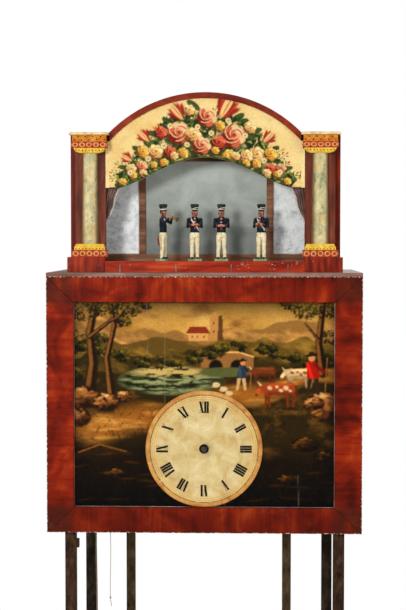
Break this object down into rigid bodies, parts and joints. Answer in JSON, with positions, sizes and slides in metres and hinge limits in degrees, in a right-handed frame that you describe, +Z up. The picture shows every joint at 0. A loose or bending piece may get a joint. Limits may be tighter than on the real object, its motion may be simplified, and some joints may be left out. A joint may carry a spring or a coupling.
{
  "type": "organ clock",
  "caption": "Standing organ clock: mahogany case with painted panel and dial, a small theatre of turning bandsmen above, and a barrel flute organ inside.",
  "frame": {"origin": "on the floor under the middle of the clock", "axes": "+Z up, the dial faces -Y, +X is the viewer's right"},
  "size_m": [0.59, 0.32, 1.5779],
  "materials": {
    "iron": "rusty wrought bar",
    "dark_iron": "blackened bar",
    "olive_iron": "worn olive brown paint over iron",
    "mahogany": "polished mahogany veneer with worn edges",
    "rail_red": "bright red mahogany with chips",
    "dark_wood": "stained softwood",
    "pine": "plain dry softwood",
    "painted_scene": "oil painting under old varnish",
    "dial_paint": "cream paint, crazed and yellowed",
    "painted_arch": "cream painted board with flowers",
    "roof_paint": "red-brown painted board",
    "gilt_yellow": "yellow and orange painted bands",
    "marbled": "marbled paint",
    "backdrop": "cloudy blue-grey paint",
    "mirror": "old clouded mirror glass",
    "curtain_cloth": "brown cloth with a pale scalloped fringe",
    "uniform": "painted carved wood",
    "brass": "old brass",
    "steel": "bright steel",
    "barrel_wood": "turned poplar with brass pins",
    "pipe_wood": "pear and pine pipes",
    "leather": "tan sheepskin",
    "string": "grey cotton string",
    "line": "grey-brown hemp line"
  },
  "bodies": {
    "case": {"front_legs": "iron", "rear_legs": "dark_iron", "inner_legs": "olive_iron", "stand_frame": "iron", "front_frame": "mahogany", "painted_panel": "painted_scene", "dial": "dial_paint", "carcass": "mahogany", "bottom_board": "pine", "top_board": "mahogany", "door_hinges": "brass", "stage_floor": "dark_wood", "front_rail": "rail_red", "plinths": "rail_red", "pilasters": "mahogany", "columns": "marbled", "capitals": "gilt_yellow", "arch_board": "painted_arch", "stage_roof": "roof_paint", "stage_sides": "mahogany", "backboard": "dark_wood", "backdrop_panel": "backdrop", "mirrors": "mirror", "curtains": "curtain_cloth", "rail_pins": "steel", "movement_frame": "brass", "seat_board": "pine", "organ_cheeks": "pine", "pipes": "pipe_wood", "wind_chest": "pine", "bellows_leather": "leather", "weight_cord": "line", "weight_hook": "brass"},
    "left_door": {"left_door": "mahogany"},
    "right_door": {"right_door": "mahogany"},
    "bandsman_1": {"bandsman_1": "uniform"},
    "bandsman_2": {"bandsman_2": "uniform"},
    "bandsman_3": {"bandsman_3": "uniform"},
    "bandsman_4": {"bandsman_4": "uniform"},
    "arms_1": {"arms_1": "uniform"},
    "arms_2": {"arms_2": "uniform"},
    "arms_3": {"arms_3": "uniform"},
    "arms_4": {"arms_4": "uniform"},
    "centre": {"centre_wheel": "brass", "cannon_pinion": "brass"},
    "great": {"great_wheel": "brass"},
    "third": {"third_wheel": "brass"},
    "escape": {"escape_wheel": "brass"},
    "pendulum": {"pendulum": "steel"},
    "minute": {"minute_wheel": "brass"},
    "hour": {"hour_wheel": "brass"},
    "barrel": {"barrel": "barrel_wood"},
    "key_frame": {"key_frame": "pine"},
    "bellows": {"bellows_top": "pine"},
    "organ_great": {"organ_great_wheel": "brass"},
    "crank": {"crank_shaft": "brass"},
    "fly": {"fly": "brass"},
    "pump_rod": {"pump_rod": "pine"},
    "trip": {"trip_rod": "brass", "strike_string": "string"}
  },
  "joints": [
    {"name": "left_door_hinge", "type": "hinge", "parent": "case", "child": "left_door", "pos_m": [-0.2835, 0.14, 0.99], "axis": [0, 0, -1], "range_deg": [0, 110]},
    {"name": "right_door_hinge", "type": "hinge", "parent": "case", "child": "right_door", "pos_m": [0.2835, 0.14, 0.99], "axis": [0, 0, 1], "range_deg": [0, 110]},
    {"name": "bandsman_1_turn", "type": "hinge", "parent": "case", "child": "bandsman_1", "pos_m": [-0.08, -0.0866, 1.258], "axis": [0, 0, 1], "range_deg": [-15, 15]},
    {"name": "arms_1_lift", "type": "hinge", "parent": "bandsman_1", "child": "arms_1", "pos_m": [-0.08, -0.0866, 1.338], "axis": [0.3746, 0.9272, 0], "range_deg": [-6, 8]},
    {"name": "bandsman_2_turn", "type": "hinge", "parent": "case", "child": "bandsman_2", "pos_m": [-0.02, -0.0866, 1.258], "axis": [0, 0, 1], "range_deg": [-15, 15]},
    {"name": "arms_2_lift", "type": "hinge", "parent": "bandsman_2", "child": "arms_2", "pos_m": [-0.02, -0.0866, 1.338], "axis": [0.9976, 0.0698, 0], "range_deg": [-6, 8]},
    {"name": "bandsman_3_turn", "type": "hinge", "parent": "case", "child": "bandsman_3", "pos_m": [0.031, -0.0866, 1.258], "axis": [0, 0, 1], "range_deg": [-15, 15]},
    {"name": "arms_3_lift", "type": "hinge", "parent": "bandsman_3", "child": "arms_3", "pos_m": [0.031, -0.0866, 1.338], "axis": [1, 0, 0], "range_deg": [-6, 8]},
    {"name": "bandsman_4_turn", "type": "hinge", "parent": "case", "child": "bandsman_4", "pos_m": [0.107, -0.0866, 1.258], "axis": [0, 0, 1], "range_deg": [-15, 15]},
    {"name": "arms_4_lift", "type": "hinge", "parent": "bandsman_4", "child": "arms_4", "pos_m": [0.107, -0.0866, 1.338], "axis": [0.9703, -0.2419, 0], "range_deg": [-6, 8]},
    {"name": "centre_arbor", "type": "hinge", "parent": "case", "child": "centre", "pos_m": [0, -0.1, 0.908], "axis": [0, 1, 0], "continuous": true},
    {"name": "great_arbor", "type": "hinge", "parent": "case", "child": "great", "pos_m": [0, -0.1, 0.856], "axis": [0, 1, 0], "continuous": true},
    {"name": "third_arbor", "type": "hinge", "parent": "case", "child": "third", "pos_m": [0, -0.1, 0.9454], "axis": [0, 1, 0], "continuous": true},
    {"name": "escape_arbor", "type": "hinge", "parent": "case", "child": "escape", "pos_m": [0, -0.1, 0.9774], "axis": [0, 1, 0], "continuous": true},
    {"name": "minute_wheel_stud", "type": "hinge", "parent": "case", "child": "minute", "pos_m": [0.024, -0.13, 0.908], "axis": [0, 1, 0], "continuous": true},
    {"name": "hour_pipe", "type": "hinge", "parent": "case", "child": "hour", "pos_m": [0, -0.14, 0.908], "axis": [0, 1, 0], "continuous": true},
    {"name": "pendulum_swing", "type": "hinge", "parent": "case", "child": "pendulum", "pos_m": [0, -0.1, 1.0074], "axis": [0, 1, 0], "range_deg": [-4, 4]},
    {"name": "barrel_axle", "type": "hinge", "parent": "case", "child": "barrel", "pos_m": [0, 0.01, 1.135], "axis": [1, 0, 0], "continuous": true},
    {"name": "crank_arbor", "type": "hinge", "parent": "case", "child": "crank", "pos_m": [-0.22, 0.01, 1.08], "axis": [1, 0, 0], "continuous": true},
    {"name": "organ_great_arbor", "type": "hinge", "parent": "case", "child": "organ_great", "pos_m": [-0.22, 0.01, 1.02], "axis": [1, 0, 0], "continuous": true},
    {"name": "fly_arbor", "type": "hinge", "parent": "case", "child": "fly", "pos_m": [-0.22, 0.054, 1.08], "axis": [1, 0, 0], "continuous": true},
    {"name": "key_frame_rock", "type": "hinge", "parent": "case", "child": "key_frame", "pos_m": [0, 0.072, 1.135], "axis": [-1, 0, 0], "range_deg": [0, 7], "stiffness_Nm_per_rad": 0.2, "springref_deg": -5.73},
    {"name": "bellows_hinge", "type": "hinge", "parent": "case", "child": "bellows", "pos_m": [-0.04, 0.074, 0.819], "axis": [-1, 0, 0], "range_deg": [0, 17], "deforming": ["bellows_leather"]},
    {"name": "pump_rod_foot", "type": "hinge", "parent": "bellows", "child": "pump_rod", "pos_m": [-0.1665, 0.01, 0.834], "axis": [-1, 0, 0], "range_deg": [-17, 0]},
    {"name": "trip_slide", "type": "slide", "parent": "case", "child": "trip", "axis": [0, 0, 1], "range_m": [-0.008, 0], "stiffness_N_per_m": 120, "springref_m": 0.012}
  ],
  "couplings": [
    {"joint": "great_arbor", "follows": "centre_arbor", "ratio": -0.083333},
    {"joint": "third_arbor", "follows": "centre_arbor", "ratio": -10},
    {"joint": "escape_arbor", "follows": "centre_arbor", "ratio": 90},
    {"joint": "minute_wheel_stud", "follows": "centre_arbor", "ratio": -0.33333},
    {"joint": "hour_pipe", "follows": "centre_arbor", "ratio": 0.083333},
    {"joint": "crank_arbor", "follows": "barrel_axle", "ratio": -10},
    {"joint": "organ_great_arbor", "follows": "barrel_axle", "ratio": 1.1111},
    {"joint": "fly_arbor", "follows": "barrel_axle", "ratio": 100},
    {"joint": "pump_rod_foot", "follows": "bellows_hinge", "ratio": -1}
  ]
}
